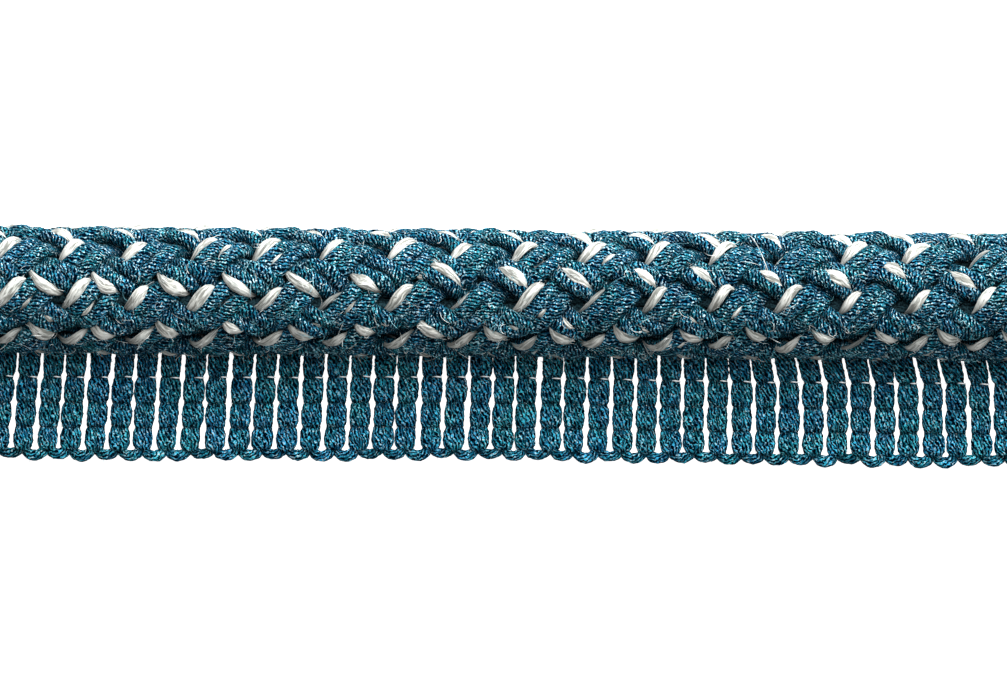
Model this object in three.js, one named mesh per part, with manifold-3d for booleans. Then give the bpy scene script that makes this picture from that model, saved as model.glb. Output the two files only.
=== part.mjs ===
// A cut length of decorative piping cord: a round braided cord with a knitted sewing flange beside it.
// It lies straight along X on z = 0, with the flange towards -Y. Sizes are in millimetres.

import * as THREE from "three";
import { mergeVertices } from "three/addons/utils/BufferGeometryUtils.js";
import Module from "manifold-3d";

// Driving dimensions of the braid
const cordDiameter = 12;
const rowsRound = 16; // rows of crossings round the cord, from eight strands each way
const floatPitch = 6.02; // along the cord, between two floats of one row
const floatPhase = -0.27; // x of the float nearest the middle
const rowPhase = (60 * Math.PI) / 180; // turn of one row from straight up towards +Y
const gapDepth = 1.1; // how far the small gaps between crossings sink below the floats
const gapSharpness = 1.5; // over 1 narrows those gaps
const flatSpot = 0.3; // how far the cord settles where it lies

// Driving dimensions of the flange. A reach is measured from the cord's centre line.
const barPitch = 2.223;
const barCount = 49;
const flangeThickness = 1.05;
const flangeReach = 15.8; // to the lowest loop
const loopNotch = 0.42; // between two loops, under the middle of a bar
const loopShortfall = 0.25; // the most that one loop ends short of the lowest
const stitchRows = [8.09, 10.5, 12.77]; // reach of each stitch row
const slotTop = 5.95;
const slotFoot = 15.0;
const slotAtRow = 0.68; // width where a stitch row pinches the bars
const slotAtBulge = 0.4; // width where the bars swell between two rows
const slotAtEnd = 0.3;
const leanLeft = -0.075; // sideways for each millimetre down, at the left end
const leanRight = 0.015;
const slotSway = 0.1; // the most that one slot stands out of its place
const clearance = 0.3; // between the flange and the cord

// Fineness of the meshes
const facetsPerRow = 2;
const facetsPerPitch = 4;
const mergeDistance = 1e-3; // vertices nearer than this are one
const loopStations = [0.2, 0.5, 0.8, 1]; // points of one loop's edge, as shares of the bar pitch
const loopRoundness = 3; // over 1 makes a loop's end broad and the notch beside it narrow

// Sizes that follow
const cordRadius = cordDiameter / 2;
const axisHeight = cordRadius - flatSpot;
const cutLength = barCount * barPitch;
const axisY = (flangeReach - cordRadius) / 2;
const headingReach = Math.sqrt((cordRadius + clearance) ** 2 - (axisHeight - flangeThickness) ** 2);

const wasm = await Module();
wasm.setup();

// Joining and cutting of closed meshes
function solidFrom(geometry) {
  const bare = geometry.clone();
  bare.deleteAttribute("normal");
  bare.deleteAttribute("uv");
  const merged = mergeVertices(bare, mergeDistance);
  return new wasm.Manifold(
    new wasm.Mesh({
      numProp: 3,
      vertProperties: new Float32Array(merged.attributes.position.array),
      triVerts: new Uint32Array(merged.index.array),
    }),
  );
}

function geometryFrom(solid) {
  const mesh = solid.getMesh();
  const geometry = new THREE.BufferGeometry();
  geometry.setAttribute("position", new THREE.BufferAttribute(mesh.vertProperties, 3));
  geometry.setIndex(new THREE.BufferAttribute(mesh.triVerts, 1));
  geometry.computeVertexNormals();
  return geometry;
}

// Distance of the braid's surface from the centre line. It is highest where one strand crosses
// over another, and lowest in the small gaps between the crossings.
function braidRadius(x, turn) {
  const row = ((rowPhase - turn) * rowsRound) / (2 * Math.PI);
  const along = (2 * (x - floatPhase)) / floatPitch;
  const height = 0.5 + 0.5 * Math.cos(Math.PI * row) * Math.cos(Math.PI * along);
  return cordRadius - gapDepth * (1 - height) ** gapSharpness;
}

// Each cell of the cylinder's wall is split along the strand that lies on top there, so that the
// facets read as a braid. A cell beside a gap is split so that the gap stays small.
function followStrands(geometry, steps) {
  const index = geometry.index.array;
  const around = rowsRound * facetsPerRow;
  for (let cell = 0; cell < around * steps; cell++) {
    const side = Math.floor(cell / steps);
    const step = cell % steps;
    const rowStarts = side % 2 === 0;
    const floatStarts = (step - steps / 2) % 2 === 0;
    const row = (rowStarts ? side : side + 1) / 2;
    const float = (steps / 2 - (floatStarts ? step : step + 1)) / 2;
    const onTop = (row + float) % 2 === 0;
    const downRight = onTop ? row % 2 === 0 : rowStarts === floatStarts;
    if (!downRight) {
      const [a, b, d, , c] = index.subarray(6 * cell, 6 * cell + 5);
      index.set([a, b, c, a, c, d], 6 * cell);
    }
  }
}

// The cord is a closed cylinder along X, raised and sunk to the braid, with its underside cut flat.
function braidedCord() {
  const steps = 2 * Math.round(((cutLength / floatPitch) * facetsPerPitch) / 2);
  const geometry = new THREE.CylinderGeometry(
    cordRadius,
    cordRadius,
    cutLength,
    rowsRound * facetsPerRow,
    steps,
  );
  followStrands(geometry, steps);
  geometry.rotateZ(-Math.PI / 2);
  geometry.rotateX(-rowPhase);
  const place = geometry.attributes.position;
  for (let i = 0; i < place.count; i++) {
    const y = place.getY(i);
    const z = place.getZ(i);
    const onSurface = Math.hypot(y, z) > cordRadius / 2;
    if (onSurface) {
      const grow = braidRadius(place.getX(i), Math.atan2(y, z)) / cordRadius;
      place.setY(i, y * grow);
      place.setZ(i, z * grow);
    }
  }
  geometry.translate(0, 0, axisHeight);
  const below = new THREE.BoxGeometry(2 * cutLength, 2 * cordDiameter, cordDiameter);
  below.translate(0, 0, -cordDiameter / 2);
  return geometryFrom(solidFrom(geometry).subtract(solidFrom(below)));
}

// An unevenness between -1 and 1 from two waves that never fall into step, so that no two slots or
// loops are quite alike
const unevenWaves = {
  slots: { first: 2.4, second: 2.21, start: 1.7 },
  loops: { first: 2.4, second: 3.77, start: 2.9 },
};

function uneven(index, waves) {
  return Math.sin(waves.first * index + waves.start) * Math.cos(waves.second * index);
}

// The bars lean a little, more at the left end than at the right.
function leanAt(x) {
  const share = x / cutLength + 0.5;
  return leanLeft + (leanRight - leanLeft) * share;
}

function flangePoint(x, reach) {
  const middleRow = stitchRows[1];
  return new THREE.Vector2(x + leanAt(x) * (reach - middleRow), -reach);
}

// Levels down one slot, from the cord to the loops: at each stitch row and halfway between them
function slotLevels() {
  const marks = [slotTop, ...stitchRows, slotFoot];
  const levels = [{ reach: slotTop, width: slotAtEnd }];
  for (let i = 1; i < marks.length; i++) {
    const atRow = i < marks.length - 1;
    levels.push({ reach: (marks[i - 1] + marks[i]) / 2, width: slotAtBulge });
    levels.push({ reach: marks[i], width: atRow ? slotAtRow : slotAtEnd });
  }
  return levels;
}

function slotPath(x, index) {
  const middle = x + slotSway * uneven(index, unevenWaves.slots);
  const levels = slotLevels();
  const down = levels.map((level) => flangePoint(middle - level.width / 2, level.reach));
  const up = levels.map((level) => flangePoint(middle + level.width / 2, level.reach)).reverse();
  return new THREE.Path([...down, ...up]);
}

// The lower edge: one loop under each slot, with a notch under the middle of each bar
function loopEdge() {
  const points = [];
  for (let bar = 0; bar < barCount - 1; bar++) {
    const start = (bar + 0.5) * barPitch - cutLength / 2;
    const lowest = flangeReach - loopShortfall * Math.abs(uneven(bar, unevenWaves.loops));
    for (const station of loopStations) {
      const notch = loopNotch * Math.abs(Math.cos(Math.PI * station)) ** loopRoundness;
      points.push(flangePoint(start + station * barPitch, lowest - notch));
    }
  }
  return points;
}

function flange() {
  const end = cutLength / 2;
  const endReach = flangeReach - loopNotch;
  const outline = new THREE.Shape([
    flangePoint(-end, headingReach),
    flangePoint(-end, endReach),
    ...loopEdge(),
    flangePoint(end, endReach),
    flangePoint(end, headingReach),
  ]);
  for (let slot = 1; slot < barCount; slot++) {
    outline.holes.push(slotPath(slot * barPitch - cutLength / 2, slot));
  }
  return new THREE.ExtrudeGeometry(outline, { depth: flangeThickness, bevelEnabled: false });
}

function piece(name, geometry, colour) {
  const material = new THREE.MeshStandardMaterial({ color: colour, roughness: 0.85, metalness: 0 });
  const mesh = new THREE.Mesh(geometry, material);
  mesh.name = name;
  mesh.position.y = axisY;
  return mesh;
}

const group = new THREE.Group();
group.add(piece("braided_cord", braidedCord(), 0x1f6d80));
group.add(piece("flange", flange(), 0x155a6e));

export default group;
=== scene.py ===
"""A cut length of braided piping cord with a knitted flange, dressed on its fixed frame.

Places and thicknesses are in millimetres until a mesh is made. The cord runs along X, its flange lies
towards -Y, and a turn round the cord is measured from straight up towards +Y.

An unevenness is two numbers, how far it goes and its longest wave.
"""

import math

import bpy
import numpy as np
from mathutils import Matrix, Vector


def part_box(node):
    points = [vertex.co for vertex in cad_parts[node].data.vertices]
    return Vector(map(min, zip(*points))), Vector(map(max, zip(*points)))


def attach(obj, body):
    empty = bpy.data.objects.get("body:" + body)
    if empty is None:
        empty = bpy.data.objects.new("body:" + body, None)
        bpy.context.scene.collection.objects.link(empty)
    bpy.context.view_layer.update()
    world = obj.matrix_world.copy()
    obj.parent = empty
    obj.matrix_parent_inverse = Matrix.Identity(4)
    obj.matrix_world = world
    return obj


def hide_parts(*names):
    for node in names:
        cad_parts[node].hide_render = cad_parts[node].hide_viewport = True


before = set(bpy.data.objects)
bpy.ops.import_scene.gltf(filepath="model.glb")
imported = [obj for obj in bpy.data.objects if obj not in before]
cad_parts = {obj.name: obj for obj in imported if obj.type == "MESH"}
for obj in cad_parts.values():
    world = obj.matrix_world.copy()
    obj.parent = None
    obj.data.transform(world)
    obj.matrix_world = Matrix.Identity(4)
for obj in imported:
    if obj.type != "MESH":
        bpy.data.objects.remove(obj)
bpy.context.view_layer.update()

MM = 0.001

# The cord, as the frame has it
cord_diameter = 12.0
cord_radius = cord_diameter / 2
flat_spot = 0.3
axis_height = cord_radius - flat_spot
cord_low, cord_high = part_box("braided_cord")
half_length = (cord_high.x - cord_low.x) / 2 / MM
axis_y = (cord_high.y + cord_low.y) / 2 / MM

# The braid: eight strands each way, one over one
strands_each_way = 8
float_pitch = 6.02
float_phase = 0.37
row_phase = math.radians(53.5)
strand_lead = strands_each_way * float_pitch
strand_slant = math.atan(2 * math.pi * cord_radius / strand_lead)
over_height = 5.4
under_height = 4.32
dive_sharpness = 1.5
seam_turn = math.radians(-101.0)
seam_reach = math.radians(21.0)

# The pale yarns get painted shade where they turn under towards the flange
shade_turn = math.radians(-72.0)
shade_reach = math.radians(24.0)

# The far row shows its pale yarns for longer
far_row = math.radians(48.0)
far_row_reach = math.radians(22.0)

# The rows of floats don't lie quite evenly round the cord: degrees of turn, and how far each shifts
row_turns = (-180, -95, -43, 0, 36, 60, 95, 130, 180)
falling_shifts = (0, 0, 2, 5, 12, 14, 9, 4, 0)
climbing_shifts = (0, -2, -5, 3, 9, 8, 5, 2, 0)
shift_smoothing = (-12, -6, 0, 6, 12)

# In a falling strand the inner pale yarn leads from one turn up to another, from a lower turn at the
# right than at the left, and the change lies left of the middle
inner_from_left = math.radians(28.0)
inner_from_right = math.radians(-22.0)
inner_up_to = math.radians(112.0)
inner_blend = math.radians(3.5)
inner_change_x = -8.0
inner_change_over = 4.0

# The flange. A reach is measured from the cord's centre line, and a lean is sideways for each
# millimetre down. Right of the middle, the bars lean more above their first stitch row.
bar_pitch = 2.223
bar_count = 49
flange_half = bar_count * bar_pitch / 2
flange_top = 1.03
heading_reach = 3.8
loop_reach = 16.0
stitch_rows = (8.09, 10.5, 12.77)
loops_start = 14.93
lean_left = -0.075
lean_right = 0.035
top_lean_right = 0.22
top_lean_x = 18.0
top_lean_over = 10.0
flange_nearer = 0.28
flange_nearer_x = -3.0
flange_nearer_over = 18.0

# The photograph's view
view_width = 93.67
view_centre = (0.0, -0.19)
view_roll = math.radians(0.44)
lens = 1000.0
sensor = 36.0


# Numbers and colours of a finish


class Amount:
    """A number that varies over a surface. Sums and products of it add Math nodes."""

    def __init__(self, finish, socket):
        self.finish = finish
        self.socket = socket

    def maths(self, operation, *numbers):
        node = self.finish.node("ShaderNodeMath", {"operation": operation}, dict(enumerate(numbers)))
        return Amount(self.finish, node.outputs[0])

    def __add__(self, other):
        return self.maths("ADD", self, other)

    def __radd__(self, other):
        return self.maths("ADD", other, self)

    def __sub__(self, other):
        return self.maths("SUBTRACT", self, other)

    def __rsub__(self, other):
        return self.maths("SUBTRACT", other, self)

    def __mul__(self, other):
        return self.maths("MULTIPLY", self, other)

    def __rmul__(self, other):
        return self.maths("MULTIPLY", other, self)

    def wave(self):
        """From 0 to 1 and back for each whole number that this one passes."""
        return 0.5 + 0.5 * self.maths("SINE", self * (2 * math.pi))

    def ramp(self, low, high):
        """0 below low, 1 above high, and smooth between them."""
        node = self.finish.node(
            "ShaderNodeMapRange",
            {"interpolation_type": "SMOOTHSTEP"},
            {"Value": self, "From Min": low, "From Max": high},
        )
        return Amount(self.finish, node.outputs["Result"])


class Finish:
    """A material and the nodes that paint it."""

    def __init__(self, name):
        self.material = bpy.data.materials.new(name)
        self.material.use_nodes = True
        self.tree = self.material.node_tree
        self.tree.nodes.clear()

    def node(self, kind, settings=None, sockets=None):
        made = self.tree.nodes.new(kind)
        for name, value in (settings or {}).items():
            setattr(made, name, value)
        for key, value in (sockets or {}).items():
            value = value.socket if isinstance(value, Amount) else value
            if isinstance(value, bpy.types.NodeSocket):
                self.tree.links.new(value, made.inputs[key])
            else:
                made.inputs[key].default_value = value
        return made

    def mapped(self, layer):
        """The two numbers that a mesh keeps in one of its UV layers."""
        place = self.node("ShaderNodeUVMap", {"uv_map": layer})
        parts = self.node("ShaderNodeSeparateXYZ", None, {"Vector": place.outputs["UV"]})
        return Amount(self, parts.outputs["X"]), Amount(self, parts.outputs["Y"])

    def yarn_place(self):
        """How far along the yarn in millimetres, and how far round it as a share of one turn."""
        return self.mapped("yarn")

    def pressed(self):
        """How much painted shade the yarn has: from 0 where it lies free to 1 in its creases, under
        crossings, along its sides and where it turns under.
        """
        return self.mapped("pressed")[0]

    def noise(self, vector, scale, detail=2.0, roughness=0.5):
        node = self.node(
            "ShaderNodeTexNoise",
            None,
            {"Vector": vector, "Scale": scale, "Detail": detail, "Roughness": roughness},
        )
        return Amount(self, node.outputs["Fac"])

    def in_space(self, scale, detail=2.0, roughness=0.5):
        """Noise with that many grains to a millimetre, the same whichever way the yarn runs."""
        place = self.node("ShaderNodeTexCoord")
        return self.noise(place.outputs["Object"], scale / MM, detail, roughness)

    def on_yarn(self, x, y, z=0.0, detail=0.0):
        """Noise with one grain for each whole number of x, y and z."""
        vector = self.node("ShaderNodeCombineXYZ", None, {"X": x, "Y": y, "Z": z})
        return self.noise(vector.outputs["Vector"], 1.0, detail)

    def mix(self, share, first, second):
        colours = [c if isinstance(c, bpy.types.NodeSocket) else (*c, 1.0) for c in (first, second)]
        node = self.node(
            "ShaderNodeMix", {"data_type": "RGBA"}, {"Factor": share, 6: colours[0], 7: colours[1]}
        )
        return node.outputs[2]

    def surface(self, sockets, relief=None, depth=0.0):
        """Closes the material. relief is a height from 0 to 1, and depth its size in millimetres."""
        shader = self.node("ShaderNodeBsdfPrincipled", None, sockets)
        if relief is not None:
            bump = self.node(
                "ShaderNodeBump", None, {"Height": relief, "Distance": depth * MM, "Strength": 1.0}
            )
            self.tree.links.new(bump.outputs["Normal"], shader.inputs["Normal"])
        output = self.node("ShaderNodeOutputMaterial")
        self.tree.links.new(shader.outputs["BSDF"], output.inputs["Surface"])
        return self.material


# Scales a colour by a light factor, which is painted light
def tinted(colour, light):
    return tuple(light * part for part in colour)


# The teal yarns' colours in a bluer and a greener patch: painted shade between the plies, the dye on
# them, and painted light where they shine
painted_groove_teal = ((0.0, 0.0018, 0.0065), (0.0, 0.0026, 0.007))
body_teal = ((0.0, 0.029, 0.076), (0.0, 0.045, 0.066))
painted_lit_teal = ((0.022, 0.26, 0.465), (0.032, 0.35, 0.43))
# Painted highlight: the near-white of the shining spots on the teal yarns
painted_glint = (0.74, 0.9, 0.93)
# Painted shade of the teal yarns, in creases, under crossings, at the seam and along their sides
painted_shade_teal = (0.0, 0.004, 0.009)


def teal_yarn(name, starts, girth, slant, hand, light, unevenness, stroke):
    """Twisted teal yarn. Its fine plies run round it in that many starts, slanted from its own line.

    A ply shows as strokes of painted light, each about stroke millimetres long, over painted shade
    between the plies. Its colours are scaled by a factor of painted light.
    """
    finish = Finish(name)
    along, around = finish.yarn_place()
    pitch = girth / (starts * math.tan(slant))
    wobble = finish.in_space(1.3, 2.0)
    jitter = finish.in_space(4.0, 1.0)
    lines = along * (1 / pitch) + hand * starts * around + 2.0 * wobble + unevenness * jitter
    down_line = along * math.cos(slant) - hand * girth * math.sin(slant) * around
    ridge = lines.wave()
    grains = finish.on_yarn(lines * 0.9, down_line * (1 / stroke), wobble * 4.0, 1.0)
    strokes = grains.ramp(0.4, 0.62)
    raised = ridge.ramp(0.25, 0.95) * (0.12 + 0.88 * strokes)
    # Painted highlights: spots on the raised strokes, painted near white
    painted_glint_spots = finish.in_space(6.0, 1.0).ramp(0.5, 0.66)
    patch = finish.in_space(0.45, 3.0, 0.6).ramp(0.3, 0.72)
    # Painted shade between the plies and painted light on their raised strokes
    groove_shade = finish.mix(patch, *painted_groove_teal)
    body = finish.mix(patch, *(tinted(colour, light) for colour in body_teal))
    bright = finish.mix(patch, *(tinted(colour, light) for colour in painted_lit_teal))
    colour = finish.mix(ridge.ramp(0.25, 0.95), groove_shade, body)
    colour = finish.mix(raised, colour, bright)
    colour = finish.mix(painted_glint_spots * raised * 0.85, colour, painted_glint)
    # Painted shade, where the yarn lies in a crease, under a crossing, at the seam or along its sides
    colour = finish.mix(finish.pressed() * 0.75, colour, painted_shade_teal)
    return finish.surface(
        {
            "Base Color": colour,
            "Roughness": 0.7 - 0.15 * ridge,
            "Specular IOR Level": 0.0,
            "Sheen Weight": 0.06,
            "Sheen Roughness": 0.3,
            "Sheen Tint": (0.12, 0.7, 0.9, 1.0),
        },
        ridge * 0.4 + raised * 0.7,
        0.08,
    )


def pale_yarn(name):
    """Soft grey-white yarn of many fine fibres that run along it."""
    finish = Finish(name)
    along, around = finish.yarn_place()
    wobble = finish.in_space(1.2, 2.0)
    fibres = finish.on_yarn(along * 0.7, around * 16.0 + along * 0.4 + wobble * 1.3, wobble, 3.0)
    shade = finish.in_space(0.7, 2.0)
    grey = finish.mix(shade.ramp(0.3, 0.7), (0.16, 0.165, 0.15), (0.24, 0.24, 0.215))
    white = finish.mix(shade.ramp(0.3, 0.7), (0.55, 0.57, 0.535), (0.64, 0.64, 0.6))
    colour = finish.mix(fibres.ramp(0.38, 0.6), grey, white)
    # Painted shade at the ends of a leaf and where the yarn turns under
    colour = finish.mix(finish.pressed() * 0.85, colour, (0.05, 0.065, 0.07))
    return finish.surface(
        {
            "Base Color": colour,
            "Roughness": 0.8 - 0.15 * fibres,
            "Specular IOR Level": 0.1,
            "Sheen Weight": 0.1,
            "Sheen Roughness": 0.5,
        },
        fibres,
        0.2,
    )


def filling_yarn():
    """Dark soft yarn that fills the braid."""
    finish = Finish("filling_yarn")
    along, around = finish.yarn_place()
    fibres = finish.on_yarn(along * 0.6, around * 20.0, 0.0, 2.0)
    tips = finish.in_space(5.0, 2.0)
    shade = fibres.ramp(0.35, 0.65) * 0.35 + tips.ramp(0.45, 0.56) * 0.65
    colour = finish.mix(shade, (0.002, 0.01, 0.015), (0.04, 0.105, 0.13))
    return finish.surface(
        {"Base Color": colour, "Roughness": 0.9 - 0.1 * fibres, "Specular IOR Level": 0.1},
        fibres * 0.5 + tips * 0.5,
        0.12,
    )


def loose_fibre(name, dull, bright, grain=0.9):
    """Single fibres, some lighter than others."""
    finish = Finish(name)
    shade = finish.in_space(grain, 1.0)
    colour = finish.mix(shade.ramp(0.35, 0.65), dull, bright)
    return finish.surface({"Base Color": colour, "Roughness": 0.55 - 0.1 * shade})


def clear_thread():
    finish = Finish("clear_thread")
    along, _ = finish.yarn_place()
    ripple = finish.on_yarn(along * 2.0, 0.5)
    colour = finish.mix(ripple.ramp(0.3, 0.7), (0.9, 0.93, 0.94), (0.97, 0.98, 0.98))
    return finish.surface(
        {
            "Base Color": colour,
            "Roughness": 0.35 - 0.1 * ripple,
            # Painted highlight: the thread glows a little, for the shine of a clear thread
            "Emission Color": (0.9, 0.95, 0.97, 1.0),
            "Emission Strength": 0.3,
        }
    )


def floor_finish():
    """A pale floor that the camera sees over-lit, as in the photograph. It lights the cord less."""
    finish = Finish("pale_floor")
    grain = finish.in_space(0.02, 3.0)
    colour = finish.mix(grain.ramp(0.3, 0.7), (0.86, 0.865, 0.87), (0.88, 0.885, 0.89))
    sockets = {"Base Color": colour, "Roughness": 0.85 - 0.05 * grain, "Specular IOR Level": 0.1}
    plain = finish.node("ShaderNodeBsdfPrincipled", None, sockets)
    glow = {"Emission Color": (1.0, 1.0, 1.0, 1.0), "Emission Strength": 1.05}
    over_lit = finish.node("ShaderNodeBsdfPrincipled", None, {**sockets, **glow})
    path = finish.node("ShaderNodeLightPath")
    both = finish.node(
        "ShaderNodeMixShader",
        None,
        {0: path.outputs["Is Camera Ray"], 1: plain.outputs["BSDF"], 2: over_lit.outputs["BSDF"]},
    )
    output = finish.node("ShaderNodeOutputMaterial")
    finish.tree.links.new(both.outputs["Shader"], output.inputs["Surface"])
    return finish.material


# Yarns as meshes

cut_angle = math.radians(62.0)
straight_up = (0.0, 0.0, 1.0)


def unit(vectors):
    return vectors / np.linalg.norm(vectors, axis=-1, keepdims=True)


def near(distance, reach):
    """1 at no distance, and falling to nothing over about twice the reach."""
    return np.exp(-((distance / reach) ** 2))


def folded(turn):
    """The same turn, from half a turn back to half a turn on."""
    return np.remainder(turn + math.pi, 2 * math.pi) - math.pi


def wander(place, rng, reach, longest):
    """A smooth unevenness within reach, from three waves that never fall into step."""
    total = np.zeros_like(place)
    for share, shorter in ((0.5, 1.0), (0.3, 0.62), (0.2, 0.37)):
        start = rng.uniform(0, 2 * math.pi)
        total += share * np.sin(2 * math.pi * place / (longest * shorter) + start)
    return reach * total


def cap_tip(t):
    """How far past its end the caps of a tube reach when it is laid flat."""
    return t["girth"] / 6


def unrolled(along, around, tip):
    """Corners of the faces of a tube that is slit and laid flat, and of the caps at its two ends."""
    grid = np.stack(np.meshgrid(along, around, indexing="ij"), -1)
    middle = (around[:-1] + around[1:]) / 2
    first_tip = np.stack([np.full_like(middle, along[0] - tip), middle], -1)
    last_tip = np.stack([np.full_like(middle, along[-1] + tip), middle], -1)
    faces = np.stack([grid[:-1, :-1], grid[:-1, 1:], grid[1:, 1:], grid[1:, :-1]], -2)
    first_cap = np.stack([first_tip, grid[0, 1:], grid[0, :-1]], -2)
    last_cap = np.stack([last_tip, grid[-1, :-1], grid[-1, 1:]], -2)
    return [corners.reshape(-1, 2) for corners in (faces, first_cap, last_cap)]


# In the square that the finishes are baked to: a shelf's length, as a share of the side of a square
# that holds all faces, how far a row may pass it, and the margin between rows, as shares of a shelf
shelf_share = 1.1
shelf_slack = 1.2
margin_share = 0.004


def laid_out(tubes):
    """A place of its own for each face, in a square that the finish can be baked to.

    Long tubes are cut into rows, and the rows are laid side by side on shelves.
    """
    shelf_length = shelf_share * math.sqrt(sum(t["along"][-1] * t["girth"] for t in tubes))
    margin = margin_share * shelf_length
    x, y, shelf = 0.0, 0.0, 0.0
    faces, caps = [], []
    for t in tubes:
        n, sides = t["rings"].shape[:2]
        rows = math.ceil(t["along"][-1] / shelf_length)
        stops = np.linspace(0, n - 1, rows + 1).round().astype(int)
        tip = cap_tip(t)
        for first, last in zip(stops[:-1], stops[1:]):
            along = t["along"][first : last + 1] - t["along"][first]
            room = along[-1] + 2 * tip + margin
            if x > 0 and x + room > shelf_slack * shelf_length:
                x, y, shelf = 0.0, y + shelf + margin, 0.0
            around = y + t["girth"] * np.arange(sides + 1) / sides
            row, first_cap, last_cap = unrolled(along + x + tip, around, tip)
            faces.append(row)
            caps += [first_cap] * int(first == 0) + [last_cap] * int(last == n - 1)
            x, shelf = x + room, max(shelf, t["girth"])
    places = np.concatenate(faces + caps) + margin
    return places / (places.max() + margin)


def around_faces(values):
    """What the corners of each face round a tube have, from what the points of its rings have."""
    turned = np.roll(values, -1, axis=1)
    return np.stack([values[:-1], turned[:-1], turned[1:], values[1:]], -1).reshape(-1, 4)


def joined(name, points, quads, caps, kinds):
    """A smooth mesh of faces with four corners and caps with three, creased where a yarn is cut."""
    mesh = bpy.data.meshes.new(name)
    corners = np.concatenate([quads.ravel(), caps.ravel()])
    starts = np.concatenate([4 * np.arange(len(quads)), 4 * len(quads) + 3 * np.arange(len(caps))])
    mesh.vertices.add(len(points))
    mesh.vertices.foreach_set("co", (points * MM).astype(np.float32).ravel())
    mesh.loops.add(len(corners))
    mesh.loops.foreach_set("vertex_index", corners.astype(np.int32))
    mesh.polygons.add(len(starts))
    mesh.polygons.foreach_set("loop_start", starts.astype(np.int32))
    mesh.polygons.foreach_set("material_index", kinds.astype(np.int32))
    mesh.update(calc_edges=True)
    mesh.polygons.foreach_set("use_smooth", np.ones(len(starts), bool))
    mesh.set_sharp_from_angle(angle=cut_angle)
    return mesh


def bundle(name, tubes, finishes):
    """One piece of many tubes. Each tube is a dict with the named values that tube() gives."""
    points, quads, caps, quad_kinds, cap_kinds = [], [], [], [], []
    yarn_map, cap_map, painted_shade_map, cap_painted_shade = [], [], [], []
    first = 0
    for t in tubes:
        n, sides = t["rings"].shape[:2]
        ring = np.arange(n * sides).reshape(n, sides) + first
        start_tip, stop_tip = (np.full(sides, first + n * sides + end) for end in range(2))
        points += [t["rings"].reshape(-1, 3), t["caps"]]
        quads.append(around_faces(ring))
        caps.append(np.stack([start_tip, np.roll(ring[0], -1), ring[0]], -1))
        caps.append(np.stack([stop_tip, ring[-1], np.roll(ring[-1], -1)], -1))
        faces, *ends = unrolled(t["along"], np.arange(sides + 1) / sides, cap_tip(t))
        yarn_map.append(faces)
        cap_map += ends
        # The painted shade of each ring, for the faces round it; the caps get none
        painted_shade_map.append(around_faces(np.broadcast_to(t["pressed"], (n, sides))).ravel())
        cap_painted_shade.append(np.zeros(6 * sides))
        quad_kinds.append(np.full(len(quads[-1]), t["kind"]))
        cap_kinds.append(np.full(2 * sides, t["kind"]))
        first += n * sides + 2
    kinds = np.concatenate(quad_kinds + cap_kinds)
    mesh = joined(name, np.concatenate(points), np.concatenate(quads), np.concatenate(caps), kinds)
    painted_shade = np.concatenate(painted_shade_map + cap_painted_shade)
    maps = {
        "yarn": np.concatenate(yarn_map + cap_map),
        "pressed": np.stack([painted_shade, 0 * painted_shade], -1),
        "OFBake": laid_out(tubes),
    }
    for layer_name, places in maps.items():
        layer = mesh.uv_layers.new(name=layer_name)
        layer.data.foreach_set("uv", places.astype(np.float32).ravel())
    for finish in finishes:
        mesh.materials.append(finish)
    piece = bpy.data.objects.new(name, mesh)
    bpy.context.scene.collection.objects.link(piece)
    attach(piece, "root")
    return piece


def tube(centre, up, half_width, half_height, sides, kind=0, cut=None, settle=False, pressed=None):
    """Rings round a line of points. cut is the x at which both ends are cut square."""
    along = unit(np.gradient(centre, axis=0))
    side = unit(np.cross(up, along))
    over = np.cross(along, side)
    turn = -math.pi / 2 + 2 * math.pi * np.arange(sides) / sides
    wide = (half_width[:, None] * np.cos(turn))[..., None] * side[:, None]
    high = (half_height[:, None] * np.sin(turn))[..., None] * over[:, None]
    rings = centre[:, None] + wide + high
    if cut is not None:
        for at, x in ((0, -cut), (-1, cut)):
            rings[at] += ((x - rings[at][:, 0]) / along[at, 0])[:, None] * along[at]
    caps = rings[[0, -1]].mean(axis=1)
    if settle:
        rings, caps = settled(rings), settled(caps)
    steps = np.linalg.norm(np.diff(centre, axis=0), axis=1)
    girth = math.pi * float(half_width.mean() + half_height.mean())
    return {
        "rings": rings,
        "caps": caps,
        "along": np.concatenate([[0.0], np.cumsum(steps)]),
        "girth": girth,
        "kind": kind,
        "pressed": np.zeros((1, 1)) if pressed is None else pressed[:, None],
        "centre": centre,
        "out": over,
        "tangent": along,
        "half_width": half_width,
        "half_height": half_height,
    }


settle_height = 0.5
settle_floor = 0.03


def settled(points):
    """Presses yarn that is below settle_height flat on the surface that the cord lies on."""
    low = points[..., 2] < settle_height
    pressed = settle_floor + (settle_height - settle_floor) * np.exp(
        (points[..., 2] - settle_height) / (settle_height - settle_floor)
    )
    points[..., 2] = np.where(low, pressed, points[..., 2])
    return points


# The braid

end_step = 0.3
stations = np.linspace(-half_length, half_length, round(2 * half_length / end_step) + 1)
floats_at_most = 24
top_fullness = 0.7  # under 1 keeps a float broad towards its ends
float_drift = 0.26  # how far aside each float of a strand may lie
slide_stray = (0.13, 17.0)  # in crossings, for a whole strand
crossing_stray = (0.07, 13.0)  # in crossings, for one yarn
radius_stray = (0.11, 7.0)
aside_stray = (0.14, 9.0)

# The four yarns of a strand side by side, and how far each sways as it dives
strand_ends = (
    {"yarn": "pale", "across": -1.42, "sway": 0.3},
    {"yarn": "teal", "across": -0.42, "sway": 0.24},
    {"yarn": "hidden pale", "across": 0.3, "sway": 0.2},
    {"yarn": "teal", "across": 1.0, "sway": 0.24},
)

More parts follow.
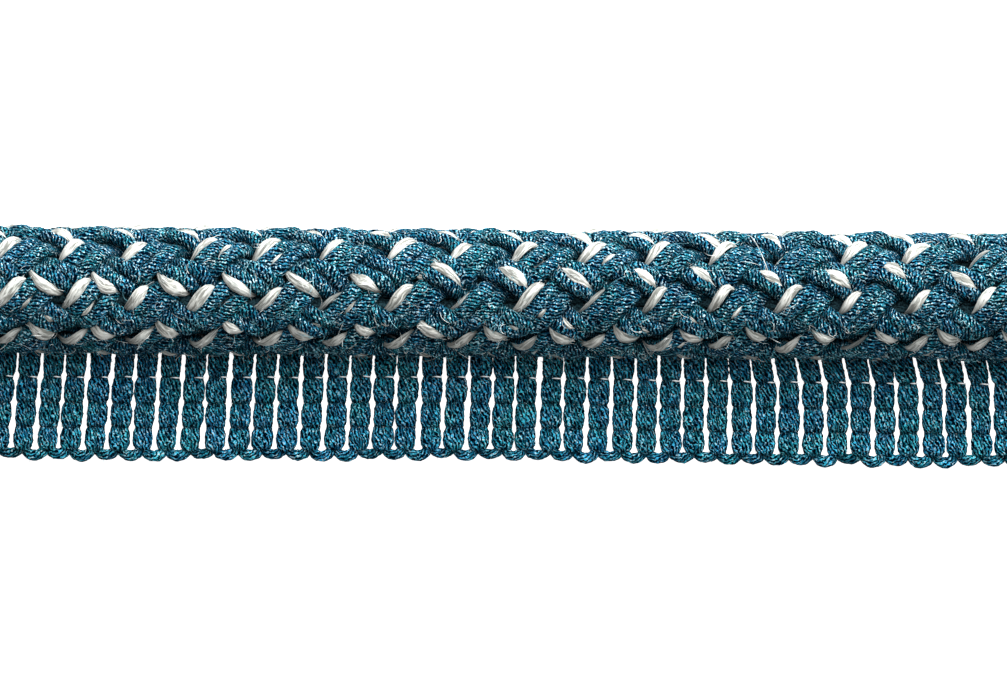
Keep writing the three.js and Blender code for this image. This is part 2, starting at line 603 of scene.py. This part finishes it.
# A teal yarn is wider on top and where it climbs or dives, and it is drawn in where it is under
teal_sides = 12
teal_half_width = 0.66
teal_wider_between = 0.18
teal_wider_on_top = 0.06
teal_half_height = 0.58
teal_higher_on_top = 0.05
teal_drawn_in = 0.16
teal_float_stray = 0.13
teal_width_stray = 0.05
teal_swells = ((0.04, 5.0), (0.04, 1.3))
teal_height_swell = (0.03, 1.3)
# Painted shade on a teal yarn: some everywhere, none where it lies on top, most where it dives under
# and at the seam, and more along its sides
teal_shade = 0.5
dive_shade = 0.55
seam_shade = 0.5
side_shade = 0.6
side_shade_sharpness = 6

# A pale yarn shows on top as a leaf, and is a hidden thread between two of them. Of each pair, the
# first is for a yarn that doesn't lead its strand, and the second is what leading adds. half_width goes
# by the strand's rise. Each leaf draws a number from -1 to 1. Where its yarn leads, the leaf is small
# unless the number is below full_below. Elsewhere it shows only if the number is below stray_below.
pale_sides = 8
pale_ends = {
    "pale": {
        "long": (0.52, 0.0),
        "half_width": {-1: (0.58, 0.0), 1: (0.47, 0.0)},
        "proud": (0.1, 0.0),
        "shift": 0.08,
        "steadied": 0.0,
        "hides": 0.75,
        "full_below": 0.84,
        "stray_below": -1.0,
    },
    "hidden pale": {
        "long": (0.26, 0.4),
        "half_width": {-1: (0.26, 0.28), 1: (0.26, 0.28)},
        "proud": (-0.1, 0.22),
        "shift": 0.3,
        "steadied": 0.7,
        "hides": 1.0,
        "full_below": 1.0,
        "stray_below": -0.3,
    },
}
leaf_fullness = 1.2
small_leaf = 0.35
pale_drawn_in = 0.5
pale_opening = 0.4
leaf_long_stray = 0.14
leaf_size_stray = 0.2
leaf_aside_stray = 0.14
leaf_proud_stray = 0.06
far_row_longer = 0.25
thread_half_width = 0.08
thread_half_height = 0.12
leaf_higher = 0.2
pale_outside = 0.6  # of a strand's middle, where the outside of its pale yarns lies
pale_swell = (0.03, 1.3)
# Painted shade on a pale yarn: towards the ends of each leaf, and low down where it turns under
leaf_end_shade = 1.5
low_shade = 0.28


def row_shift(turn, rise):
    """How far the strands at a turn lie out of even rows."""
    degrees = np.remainder(np.degrees(turn) + 180, 360) - 180
    shifts = climbing_shifts if rise > 0 else falling_shifts
    nearby = [np.interp(degrees + off, row_turns, shifts) for off in shift_smoothing]
    return np.radians(np.mean(nearby, axis=0))


def inner_share(turned, rise):
    """1 where the inner pale yarn of a strand shows and the outer one hides, and 0 elsewhere."""
    if rise > 0:
        return np.zeros_like(turned)
    right = np.clip((stations - inner_change_x) / inner_change_over, 0.0, 1.0)
    lowest = inner_from_left + (inner_from_right - inner_from_left) * right
    started = 0.5 + 0.5 * np.tanh((turned - lowest) / inner_blend)
    stopped = 0.5 + 0.5 * np.tanh((turned - inner_up_to) / inner_blend)
    return started * (1 - stopped)


class YarnRun:
    """How one yarn of a strand runs over and under the others, and round the cord.

    rise is 1 where the strand climbs towards +Y and -1 where it falls. slide moves the floats of the
    whole strand along.
    """

    def __init__(self, rise, strand, end, slide, rng):
        climbing = rise > 0
        self.rise = rise
        self.rng = rng
        self.first_turn = row_phase + 2 * math.pi * (strand - climbing / 2) / strands_each_way
        self.place = stations - (float_phase + float_pitch / 2 * climbing)
        shift = end["across"] / math.sin(strand_slant)
        crossing = 2 * (self.place - shift / 2) / float_pitch + slide + self.stray(crossing_stray)
        swing = np.cos(math.pi * crossing)
        self.on_top = np.maximum(swing, 0.0) ** top_fullness
        self.between = 1 - np.abs(swing)
        self.lift = np.tanh(dive_sharpness * swing) / math.tanh(dive_sharpness)
        self.sway = rise * end["sway"] * np.sin(math.pi * crossing)
        nearest = np.round(crossing / 2).astype(int)
        self.from_middle = crossing - 2 * nearest
        self.float_number = nearest - nearest[0]
        turn = self.turn_at(self.place)
        self.turned = folded(turn)
        self.at_seam = near(folded(turn - seam_turn), seam_reach)

    def turn_at(self, place):
        """The turn round the cord at places along it, which are measured from the strand's first."""
        return self.first_turn + self.rise * 2 * math.pi * place / strand_lead

    def stray(self, unevenness):
        return wander(stations, self.rng, *unevenness)

    def for_each_float(self, reach):
        """One number within reach for each float."""
        numbers = self.rng.uniform(-reach, reach, self.float_number[-1] + 1)
        return numbers[self.float_number]


def teal_end(run, end, radius):
    """The shape of a teal yarn along its strand."""
    top = run.on_top
    across = end["across"] * (1 - teal_drawn_in + teal_drawn_in * top) - run.sway
    across = across + run.for_each_float(teal_float_stray) * top
    radius = radius + run.for_each_float(teal_float_stray) * top
    half_width = teal_half_width + teal_wider_between * run.between
    half_width = half_width + (teal_wider_on_top + run.for_each_float(teal_width_stray)) * top
    for unevenness in teal_swells:
        half_width = half_width + run.stray(unevenness)
    # Painted shade under crossings and at the seam
    pressed = np.clip(teal_shade - dive_shade * run.lift + seam_shade * run.at_seam, 0.0, 1.0)
    return {
        "across": across,
        "radius": radius,
        "half_width": half_width,
        "half_height": teal_half_height + teal_higher_on_top * top + run.stray(teal_height_swell),
        "pressed": pressed,
        "free": top,
    }


def pale_end(run, end, radius):
    """The shape of a pale yarn along its strand."""
    kind = pale_ends[end["yarn"]]
    inner = inner_share(run.turned, run.rise)
    lead = 1 - inner if end["yarn"] == "pale" else inner
    plain, led = kind["long"]
    long = (plain + led * lead) * (1 + run.for_each_float(leaf_long_stray))
    long = long * (1 + far_row_longer * near(run.turned - far_row, far_row_reach))
    shift = run.for_each_float(kind["shift"]) * (1 - kind["steadied"] * lead)
    leaf = np.clip(1 - ((run.from_middle - shift) / long) ** 2, 0.0, 1.0) ** leaf_fullness
    size = 1 + run.for_each_float(leaf_size_stray)
    luck = run.for_each_float(1.0)
    while_leading = np.where(luck < kind["full_below"], 1.0, small_leaf)
    while_not = np.where(luck < kind["stray_below"], 1.0, 0.0)
    leaf = leaf * (while_leading * lead + while_not * (1 - lead)) * (1 - run.at_seam)
    across = end["across"] * (1 - pale_drawn_in + pale_drawn_in * leaf**pale_opening)
    across = across - run.sway * leaf
    across = across + run.for_each_float(leaf_aside_stray) * leaf
    plain, led = kind["half_width"][run.rise]
    half_width = thread_half_width + (plain + led * lead) * size * leaf + run.stray(pale_swell)
    half_height = thread_half_height + leaf_higher * leaf
    plain, led = kind["proud"]
    proud = plain + led * lead + run.for_each_float(leaf_proud_stray)
    # Painted shade low down, where the yarn turns under towards the flange
    in_shade = near(run.turned - shade_turn, shade_reach)
    return {
        "across": across,
        "radius": radius + pale_outside - half_height + proud * leaf - kind["hides"] * (1 - leaf),
        "half_width": half_width,
        "half_height": half_height,
        "pressed": np.clip((1 - leaf) ** leaf_end_shade + low_shade * in_shade, 0.0, 1.0),
        "free": leaf * lead,
    }


def shade_sides(yarn, out):
    """Paints shade on a yarn along its two sides, where others lie against it."""
    side = np.cross(out, yarn["tangent"])
    beside = np.abs(np.einsum("ijk,ik->ij", yarn["rings"] - yarn["centre"][:, None], side))
    beside = np.clip(beside / yarn["half_width"][:, None], 0.0, 1.0)
    yarn["pressed"] = np.clip(yarn["pressed"] + side_shade * beside**side_shade_sharpness, 0.0, 1.0)


def strand_end(rise, strand, end, drift, slide, rng):
    """One yarn of one strand. drift moves each float of the whole strand aside."""
    run = YarnRun(rise, strand, end, slide, rng)
    teal = end["yarn"] == "teal"
    radius = (over_height + under_height) / 2 + (over_height - under_height) / 2 * run.lift
    radius = radius + run.stray(radius_stray)
    shape = teal_end(run, end, radius) if teal else pale_end(run, end, radius)
    across = shape["across"] + drift[run.float_number] * run.on_top + run.stray(aside_stray)
    turn = run.turn_at(run.place - across / math.sin(strand_slant))
    turn = turn + row_shift(turn, rise)
    nothing = np.zeros_like(turn)
    out = np.stack([nothing, np.sin(turn), np.cos(turn)], -1)
    centre = np.stack([stations, nothing, nothing], -1) + shape["radius"][:, None] * out
    centre += (0.0, axis_y, axis_height)
    yarn = tube(
        centre,
        out,
        shape["half_width"],
        shape["half_height"],
        teal_sides if teal else pale_sides,
        kind=0 if teal else 1,
        cut=half_length,
        settle=True,
        pressed=shape["pressed"],
    )
    if teal:
        shade_sides(yarn, out)
    yarn["free"] = shape["free"]
    return yarn


def braid(finishes):
    """The sixteen strands, and their yarns for the fibres that stand off them."""
    rng = np.random.default_rng(11)
    pieces, yarns = [], []
    for rise, way in ((-1, "falling"), (1, "climbing")):
        for strand in range(strands_each_way):
            drift = rng.uniform(-float_drift, float_drift, floats_at_most)
            slide = wander(stations, rng, *slide_stray)
            ends = [strand_end(rise, strand, end, drift, slide, rng) for end in strand_ends]
            pieces.append(bundle(f"{way}_strand_{strand + 1}", ends, finishes))
            yarns += ends
    return pieces, yarns


# The filling

filling_spacing = 1.62
filling_radius = 4.3
filling_rows = range(-3, 4)
filling_twist = math.radians(3.0)  # for each float's length
filling_flatness = 0.98
filling_sides = 10
filling_steps = 90
filling_stray = (0.1, 21.0)
filling_swell = (0.04, 11.0)
filling_shortfall = 0.9  # the most that one yarn ends inside the cut


def filling(finish):
    """Straight soft yarns side by side that fill the braid, with a slow twist, and those yarns."""
    rng = np.random.default_rng(5)
    x = np.linspace(-half_length, half_length, filling_steps)
    tubes = []
    for row in filling_rows:
        for column in filling_rows:
            y = filling_spacing * (column + row / 2)
            z = filling_spacing * row * math.sqrt(0.75)
            if math.hypot(y, z) > filling_radius - filling_spacing / 2:
                continue
            twist = filling_twist * x / float_pitch
            cy = y * np.cos(twist) - z * np.sin(twist) + wander(x, rng, *filling_stray)
            cz = y * np.sin(twist) + z * np.cos(twist) + wander(x, rng, *filling_stray)
            centre = np.stack([x, cy + axis_y, cz + axis_height], -1)
            thick = filling_spacing / 2 + wander(x, rng, *filling_swell)
            up = np.broadcast_to(straight_up, centre.shape)
            cut = half_length - rng.uniform(0.0, filling_shortfall)
            tubes.append(tube(centre, up, thick, thick * filling_flatness, filling_sides, cut=cut))
    return bundle("filling", tubes, [finish]), tubes


# The flange

bar_step = 0.15
bar_half_yarn = 0.44
bar_stray = 0.05
bar_top = heading_reach + 0.8
bar_top_rise = 0.3
bar_foot = loops_start - 0.2
closing_from = 1.0  # above the loops, where the two yarns of a bar begin to draw together
closing_over = 0.8
closing_in = 0.19
loop_shortfall = 0.3
loop_half_yarn = 0.5
yarn_sides = 10
yarn_half_width = 0.575
yarn_half_height = 0.5
yarn_fullness = 1.02
yarn_swells = ((0.05, 6.0), (0.07, 0.9), (0.06, 0.5))
yarn_stray = (0.05, 13.0)
yarn_height_stray = (0.04, 9.0)
yarn_raised = 0.03
pillow_stray = 0.08  # of each length between two creases, in its width and aside

# The creases where a stitch row or the loops pull the yarn in: a narrow one in a wider pinch. The yarn
# gets painted shade in them and along the borders of the bars.
crease_stray = (0.09, 7.3)
crease_reach = 0.24
crease_depth = 0.24
crease_flatness = 0.28
crease_shade = 0.85
pinch_reach = 0.45
pinch_depth = 0.12
pinch_flatness = 0.2
pinch_narrowness = 0.2
pinch_inward = 0.15
pinch_inward_until = 14.6
pinch_shade = 0.35
border_shade = 0.7
border_sharpness = 5


def bar_middle(bar):
    return (bar + 0.5) * bar_pitch - flange_half


def leaning(x, reach):
    """How far aside the lean puts a point. It is nothing at the middle stitch row."""
    share = x / (2 * half_length) + 0.5
    return (lean_left + (lean_right - lean_left) * share) * (reach - stitch_rows[1])


def flange_rise(x):
    """The flange lies a little nearer to the cord left of the middle."""
    return flange_nearer * near(x - flange_nearer_x, flange_nearer_over)


def flange_path(rng):
    """The flange's one yarn: up each bar, round its top and down again, and round a loop."""
    points = []
    bar_x = bar_middle(np.arange(bar_count)) + rng.uniform(-bar_stray, bar_stray, bar_count)
    lowest = loop_reach - loop_half_yarn - rng.uniform(0.0, loop_shortfall, bar_count)
    reaches = np.arange(bar_foot, bar_top, -bar_step)
    closing = np.clip((reaches - loops_start + closing_from) / closing_over, 0.0, 1.0) ** 2
    apart = bar_half_yarn - closing_in * closing
    top_turn = np.linspace(math.pi, 0.0, 9)[1:-1]
    loop_turn = np.linspace(math.pi, 2 * math.pi, 17)[1:-1]
    for bar in range(bar_count):
        round_top = bar_x[bar] + bar_half_yarn * np.cos(top_turn)
        points += zip(bar_x[bar] - apart, reaches)
        points += zip(round_top, bar_top - bar_top_rise * np.sin(top_turn))
        points += zip((bar_x[bar] + apart)[::-1], reaches[::-1])
        if bar < bar_count - 1:
            start, stop = bar_x[bar] + apart[0], bar_x[bar + 1] - apart[0]
            middle, wide = (start + stop) / 2, (stop - start) / 2
            fall = lowest[bar] - bar_foot
            points += zip(middle + wide * np.cos(loop_turn), bar_foot - fall * np.sin(loop_turn))
    return np.array(points)


def flange(finish):
    """The flange, and its yarn for the fibres that stand off it."""
    rng = np.random.default_rng(23)
    path = flange_path(rng)
    x, reach = path[:, 0], path[:, 1]
    in_loop = reach >= loops_start
    place = np.concatenate([[0.0], np.cumsum(np.hypot(np.diff(x), np.diff(reach)))])
    sway = wander(place, rng, *crease_stray)
    crease_at = np.array((*stitch_rows, loops_start))
    to_crease = np.abs(reach[:, None] + sway[:, None] - crease_at).min(axis=1)
    crease, pinch = near(to_crease, crease_reach), near(to_crease, pinch_reach)
    swell = yarn_fullness - pinch_narrowness * pinch
    for unevenness in yarn_swells:
        swell = swell + wander(place, rng, *unevenness)
    bar = np.round((x + flange_half) / bar_pitch - 0.5).astype(int)
    pillow = np.searchsorted(crease_at, reach)
    wider, aside = rng.uniform(-pillow_stray, pillow_stray, (2, bar_count, len(crease_at) + 1))
    swell = swell + wider[bar, pillow] * (1 - pinch)
    aside = np.where(in_loop, 0.0, aside[bar, pillow] * (1 - pinch))
    from_middle = x - bar_middle(bar)
    inward = np.where(reach < pinch_inward_until, from_middle * (-pinch_inward * pinch), 0.0)
    top_lean = top_lean_right * np.clip((x - top_lean_x) / top_lean_over, 0.0, 1.0)
    lean = leaning(x, reach) - top_lean * np.maximum(stitch_rows[0] - reach, 0.0)
    height = flange_top / 2 + yarn_raised - crease_depth * crease - pinch_depth * pinch
    centre = np.stack(
        [
            x + inward + aside + lean + wander(place, rng, *yarn_stray),
            axis_y - reach + flange_rise(x),
            height + wander(place, rng, *yarn_height_stray),
        ],
        -1,
    )
    up = np.broadcast_to(straight_up, centre.shape)
    half_width = yarn_half_width * swell
    half_height = yarn_half_height * (1 - crease_flatness * crease - pinch_flatness * pinch)
    yarn = tube(centre, up, half_width, half_height, yarn_sides, settle=True)
    beside = (yarn["rings"] - centre[:, None]) / half_width[:, None, None]
    outward = np.where(in_loop, 0.0, np.sign(from_middle))[:, None] * beside[..., 0]
    outward = np.maximum(outward, np.where(in_loop, -1.0, 0.0)[:, None] * beside[..., 1])
    # Painted shade in the creases and pinches, and along the borders of the bars
    in_crease = crease_shade * crease + pinch_shade * pinch
    at_border = border_shade * np.clip(outward, 0.0, 1.0) ** border_sharpness
    yarn["pressed"] = np.clip(in_crease[:, None] + at_border, 0.0, 1.0)
    return bundle("flange_yarn", [yarn], [finish]), yarn


# The seam yarn, from the cord's centre line and above the surface
seam_pitch = 2.6
seam_distance = 5.0
seam_height = 1.62
seam_twist = 0.3
seam_steps = 520
seam_sides = 8
seam_half_width = 0.42
seam_shortfall = 0.1
seam_turn_stray = (0.4, 9.0)
seam_swell = (0.03, 3.0)


def seam_yarn(finish):
    """Two yarns twisted together that lie in the groove between the flange and the cord."""
    rng = np.random.default_rng(29)
    place = np.linspace(-half_length, half_length, seam_steps)
    tubes = []
    for start in (0.0, math.pi):
        turn = 2 * math.pi * place / seam_pitch + start + wander(place, rng, *seam_turn_stray)
        y = axis_y - seam_distance + seam_twist * np.sin(turn)
        z = seam_height + seam_twist * np.cos(turn)
        centre = np.stack([place, y, z], -1)
        up = np.stack([0 * place, np.sin(turn), np.cos(turn)], -1)
        thick = seam_half_width + wander(place, rng, *seam_swell)
        tubes.append(tube(centre, up, thick, thick, seam_sides, cut=half_length - seam_shortfall))
    return bundle("seam_yarn", tubes, [finish])


# The clear thread: over which share of a bar's pitch its first row comes up, and how it slants there
thread_up = (0.62, 0.88)
thread_middle = 0.75
thread_slant = 0.25
thread_low = flange_top / 2 - 0.15
thread_climb = flange_top / 2 + 0.16
thread_half = 0.018
thread_thicker_on_top = 0.05
thread_stray = (0.06, 11.0)
thread_sides = 6
steps_each_bar = 20
rounding_passes = 2


def stitches(finish):
    """Clear thread that ties the bars in three rows. Only the first row comes up over the bars."""
    rng = np.random.default_rng(41)
    tubes = []
    end = flange_half - bar_pitch / 2
    x = np.linspace(-end, end, bar_count * steps_each_bar)
    share = (x + flange_half) / bar_pitch % 1.0
    for number, reach in enumerate(stitch_rows):
        on_top = ((share > thread_up[0]) & (share < thread_up[1])) * (number == 0)
        for _ in range(rounding_passes):
            on_top = np.convolve(np.pad(on_top, 1, "edge"), (0.25, 0.5, 0.25), "valid")
        down = reach + thread_slant * (share - thread_middle) * on_top
        down = down + wander(x, rng, *thread_stray)
        height = thread_low + thread_climb * on_top
        centre = np.stack([x + leaning(x, reach), axis_y - down + flange_rise(x), height], -1)
        up = np.broadcast_to(straight_up, centre.shape)
        thin = thread_half + thread_thicker_on_top * on_top
        tubes.append(tube(centre, up, thin, thin, thread_sides))
    return bundle("flange_stitches", tubes, [finish])


# Loose fibres

fibre_half_widths = (0.008, 0.018, 0.018, 0.018, 0.018, 0.008)
fibre_sides = 3
fibre_arch = (0.4, 1.0)  # how much of an arch it stands up in
fibre_root = 0.96  # as a share of its yarn's thickness
end_margin = 4  # rings at each end of a yarn that grow no fibres

# Fibres of the braid: how many of those that are drawn stay, how far they turn from their yarn's line,
# how they bend, and how long they may be. Teal ones are thickest low down, towards the flange.
fibre_count = 4000
fibre_kinds = (
    {"stay": 0.4, "stay_low": 0.6, "heading": 1.6, "bend": 2.6, "length": 2.0},
    {"stay": 0.9, "stay_low": 0.0, "heading": 0.4, "bend": 0.8, "length": 1.4},
)
low_turn = math.radians(-60.0)
low_reach = math.radians(32.0)
facing_reach = 1.1
shortest_fibre = 0.4
fibre_rise = (0.06, 0.3)
pale_among_teal = 0.3

# The long hair: x and degrees of turn at its ends, and how far it stands off the cord
hair_ends = ((22.65, 66.0), (24.6, 19.0))
hair_stand = (0.1, 0.3, 0.4, 0.45, 0.45, 0.42, 0.35, 0.2, 0.0)
hair_half_width = 0.035
hair_sides = 4

# Fibres of the flange
flange_fibre_count = 1000
flange_fibre_root = 0.93
flange_fibre_lift = 0.8
flange_fibre_length = (0.15, 0.6)
flange_fibre_rise = 0.05
flange_fibre_heading = 0.9
flange_fibre_bend = 1.6
teal_among_dark = 0.35

# Fibres of the cut ends
frayed_each_braid_yarn = 8
frayed_each_filling_yarn = 16
frayed_heading = 0.6
frayed_bend = 1.2
frayed_root = 0.1
frayed_spread = 0.95
frayed_length = (0.25, 0.8)
frayed_rise = 0.25


def fibre(start, along, out, length, heading, bend, rise, kind, rng):
    """One fibre that leaves a yarn at start. heading and its bend turn it away from along."""
    across = np.cross(out, along)
    thin = np.array(fibre_half_widths)
    steps = len(thin) - 1
    share = np.linspace(0.0, 1.0, steps + 1)
    turning = heading + bend * share
    run = np.concatenate([[0.0], np.cumsum(np.cos(turning[:-1]))]) * length / steps
    sway = np.concatenate([[0.0], np.cumsum(np.sin(turning[:-1]))]) * length / steps
    lift = rise * np.sin(math.pi * share * rng.uniform(*fibre_arch))
    centre = start + run[:, None] * along + sway[:, None] * across + lift[:, None] * out
    up = np.broadcast_to(out, centre.shape)
    return tube(centre, up, thin, thin, fibre_sides, kind=kind, settle=True)


def long_hair():
    """One long pale hair that lies over the cord."""
    (from_x, from_turn), (to_x, to_turn) = hair_ends
    steps = len(hair_stand)
    turn = np.radians(np.linspace(from_turn, to_turn, steps))
    out = np.stack([0 * turn, np.sin(turn), np.cos(turn)], -1)
    reach = cord_radius + np.array(hair_stand)
    centre = np.stack([np.linspace(from_x, to_x, steps), 0 * turn, 0 * turn], -1)
    centre = centre + reach[:, None] * out + (0.0, axis_y, axis_height)
    thin = np.full(steps, hair_half_width)
    return tube(centre, out, thin, thin, hair_sides, kind=1)


def stray_fibres(yarns, finishes):
    """Short fibres that stand off the yarns where they lie on top, and one long hair."""
    rng = np.random.default_rng(77)
    free = [y for y in yarns if y["free"].max() > 0]
    tubes = []
    while len(tubes) < fibre_count:
        yarn = free[rng.integers(len(free))]
        at = rng.integers(end_margin, len(yarn["centre"]) - end_margin)
        kind = fibre_kinds[yarn["kind"]]
        out = yarn["out"][at]
        low = math.exp(-(((math.atan2(out[1], out[2]) - low_turn) / low_reach) ** 2))
        stay = kind["stay"] + kind["stay_low"] * low
        if rng.uniform() > yarn["free"][at] or rng.uniform() > stay:
            continue
        side = np.cross(out, yarn["tangent"][at])
        lean = rng.uniform(-facing_reach, facing_reach)
        facing = math.cos(lean) * out + math.sin(lean) * side
        start = yarn["centre"][at] + facing * (yarn["half_height"][at] * fibre_root)
        heading = rng.normal(0.0, kind["heading"]) + math.pi * rng.integers(2)
        bend = rng.normal(0.0, kind["bend"])
        length = rng.uniform(shortest_fibre, 1.0) ** 2 * kind["length"]
        rise = rng.uniform(*fibre_rise)
        tone = int(yarn["kind"] == 1 or rng.uniform() < pale_among_teal)
        along = yarn["tangent"][at]
        tubes.append(fibre(start, along, facing, length, heading, bend, rise, tone, rng))
    return bundle("stray_fibres", [*tubes, long_hair()], finishes)


def flange_fibres(yarn, finishes):
    """Short fibres that stand out sideways from the flange's yarn, many of them across the slots."""
    rng = np.random.default_rng(91)
    tubes = []
    last = len(yarn["centre"]) - end_margin
    for at in rng.integers(end_margin, last, flange_fibre_count):
        out, along = yarn["out"][at], yarn["tangent"][at]
        side = np.cross(out, along) * rng.choice((-1.0, 1.0))
        lift = rng.uniform(0.0, flange_fibre_lift)
        facing = math.cos(lift) * side + math.sin(lift) * out
        wide = math.cos(lift) * yarn["half_width"][at] * side
        high = math.sin(lift) * yarn["half_height"][at] * out
        start = yarn["centre"][at] + flange_fibre_root * (wide + high)
        length = rng.uniform(*flange_fibre_length)
        heading = rng.normal(0.0, flange_fibre_heading)
        bend = rng.normal(0.0, flange_fibre_bend)
        tone = int(rng.uniform() < teal_among_dark)
        rise = flange_fibre_rise
        tubes.append(fibre(start, facing, out, length, heading, bend, rise, tone, rng))
    return bundle("flange_fibres", tubes, finishes)


def frayed_end(yarn, at, outward, rng):
    """One fibre that stands out of a cut end."""
    turn, share = rng.uniform(0, 2 * math.pi), math.sqrt(rng.uniform(0, frayed_spread))
    out = yarn["out"][at]
    along = outward * yarn["tangent"][at]
    side = np.cross(out, along)
    facing = math.cos(turn) * side + math.sin(turn) * out
    wide = yarn["half_width"][at] * math.cos(turn) * side
    high = yarn["half_height"][at] * math.sin(turn) * out
    start = yarn["caps"][at] + share * (wide + high) - frayed_root * along
    length = rng.uniform(*frayed_length)
    bend = rng.normal(0.0, frayed_bend)
    heading = rng.normal(0.0, frayed_heading)
    rise = rng.uniform(0, frayed_rise)
    return fibre(start, along, facing, length, heading, bend, rise, yarn["kind"], rng)


def frayed_ends(yarns, fibres_each, name, finishes):
    """Fibres that stand out of the cut ends."""
    rng = np.random.default_rng(83)
    tubes = []
    for yarn in yarns:
        for at, outward in ((0, -1.0), (-1, 1.0)):
            tubes += [frayed_end(yarn, at, outward, rng) for _ in range(fibres_each)]
    return bundle(name, tubes, finishes)


# Stage

floor_reach = 8.0
floor_drop = 0.0002
backdrop_light = 0.145


def floor():
    mesh = bpy.data.meshes.new("floor")
    corners = [(floor_reach * x, floor_reach * y, 0.0) for x, y in ((-1, -1), (1, -1), (1, 1), (-1, 1))]
    mesh.from_pydata(corners, [], [(0, 1, 2, 3)])
    mesh.materials.append(floor_finish())
    ground = bpy.data.objects.new("floor", mesh)
    ground.location.z = -floor_drop
    bpy.context.scene.collection.objects.link(ground)


def soft_light(name, azimuth, elevation, distance, size, power):
    """A soft box that looks at the cord. Its second size runs up and down."""
    data = bpy.data.lights.new(name, "AREA")
    data.shape = "RECTANGLE"
    data.size, data.size_y = size
    data.energy = power
    lamp = bpy.data.objects.new(name, data)
    side, rise = math.radians(azimuth), math.radians(elevation)
    lamp.location = (
        distance * math.cos(rise) * math.sin(side),
        distance * math.cos(rise) * math.cos(side),
        distance * math.sin(rise),
    )
    lamp.rotation_euler = (rise - math.pi / 2, 0.0, -side)
    lamp.visible_camera = False
    bpy.context.scene.collection.objects.link(lamp)


def studio():
    """Two soft boxes, and a backdrop that the camera sees white but that lights the cord less."""
    soft_light("high_box", azimuth=20.0, elevation=70.0, distance=0.9, size=(0.4, 0.6), power=7.0)
    soft_light("back_box", azimuth=32.0, elevation=30.0, distance=0.8, size=(0.8, 0.35), power=17.0)
    world = bpy.data.worlds.new("soft_white")
    world.use_nodes = True
    backdrop = world.node_tree.nodes["Background"]
    path = world.node_tree.nodes.new("ShaderNodeLightPath")
    strength = world.node_tree.nodes.new("ShaderNodeMapRange")
    strength.inputs["To Min"].default_value = backdrop_light
    strength.inputs["To Max"].default_value = 1.0
    world.node_tree.links.new(path.outputs["Is Camera Ray"], strength.inputs["Value"])
    world.node_tree.links.new(strength.outputs["Result"], backdrop.inputs["Strength"])
    backdrop.inputs["Color"].default_value = (1.0, 1.0, 1.0, 1.0)
    bpy.context.scene.world = world
    bpy.context.scene.view_settings.view_transform = "Standard"


def camera():
    data = bpy.data.cameras.new("camera")
    data.lens, data.sensor_width = lens, sensor
    height = axis_height + view_width * lens / sensor
    data.clip_end = 20.0
    seen = bpy.data.objects.new("camera", data)
    seen.location = (view_centre[0] * MM, view_centre[1] * MM, height * MM)
    seen.rotation_euler = (0.0, 0.0, view_roll)
    bpy.context.scene.collection.objects.link(seen)
    bpy.context.scene.camera = seen


camera()
studio()
floor()

# Besides their plies, the braid's and the flange's copies of the teal yarn differ in painted light: the
# flange's is painted far lighter, for the light it lacks in the cord's shadow
braid_teal = teal_yarn(
    "braid_teal_yarn",
    starts=8,
    girth=4.0,
    slant=math.radians(55.0),
    hand=-1,
    light=0.77,
    unevenness=1.25,
    stroke=0.32,
)
flange_teal = teal_yarn(
    "flange_teal_yarn",
    starts=9,
    girth=3.0,
    slant=math.radians(27.0),
    hand=1,
    light=1.95,
    unevenness=1.4,
    stroke=0.48,
)
strands, braid_yarns = braid([braid_teal, pale_yarn("pale_yarn")])
core, core_yarns = filling(filling_yarn())
lip, lip_yarn = flange(flange_teal)
threads = stitches(clear_thread())
seam = seam_yarn(flange_teal)
loose = [
    loose_fibre("loose_teal_fibre", (0.02, 0.14, 0.2), (0.2, 0.5, 0.58)),
    loose_fibre("loose_pale_fibre", (0.3, 0.34, 0.34), (0.74, 0.76, 0.74)),
]
fuzz = stray_fibres(braid_yarns, loose)
fray = frayed_ends(braid_yarns, frayed_each_braid_yarn, "frayed_braid_ends", loose)
dark_fibre = loose_fibre("loose_dark_fibre", (0.004, 0.02, 0.03), (0.09, 0.23, 0.27), grain=3.0)
core_fray = frayed_ends(core_yarns, frayed_each_filling_yarn, "frayed_filling_ends", [dark_fibre])
lip_fuzz = flange_fibres(lip_yarn, [dark_fibre, loose[0]])

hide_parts("braided_cord")
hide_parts("flange")
